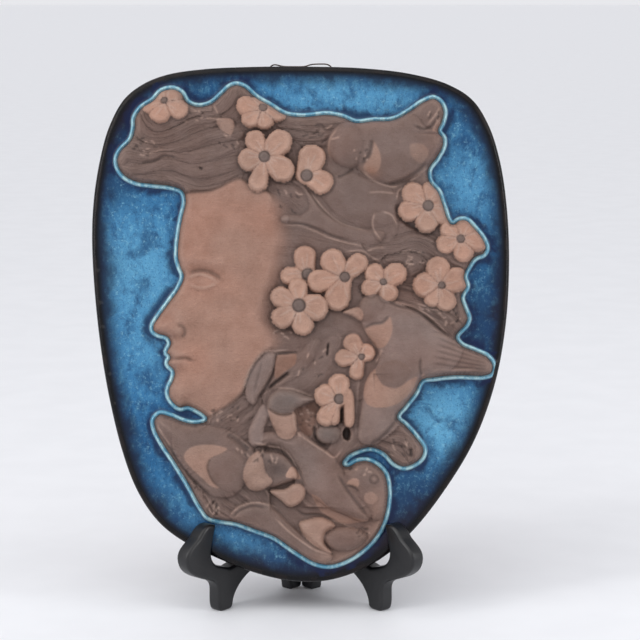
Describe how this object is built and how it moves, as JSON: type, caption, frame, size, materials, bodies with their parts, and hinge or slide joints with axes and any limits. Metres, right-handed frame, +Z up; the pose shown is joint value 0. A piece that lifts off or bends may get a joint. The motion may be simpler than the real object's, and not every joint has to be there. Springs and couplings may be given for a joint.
{
  "type": "relief wall plaque",
  "caption": "Ceramic wall plaque with a low relief head crowned with birds and flowers on a blue glazed ground, standing in a black plate stand.",
  "frame": {"origin": "on the table, under the middle of the whole part's box", "axes": "+Z up, -Y out of the front towards the viewer, +X to the viewer's right"},
  "size_m": [0.31, 0.1074, 0.4008],
  "materials": {
    "fired_clay": "matt bisque relief, glossy blue glaze ground",
    "wire": "dull, browned",
    "stand": "satin black"
  },
  "bodies": {
    "root": {"plaque": "fired_clay", "hanging_wire": "wire", "stand_board_left": "stand", "stand_board_right": "stand"}
  },
  "joints": []
}
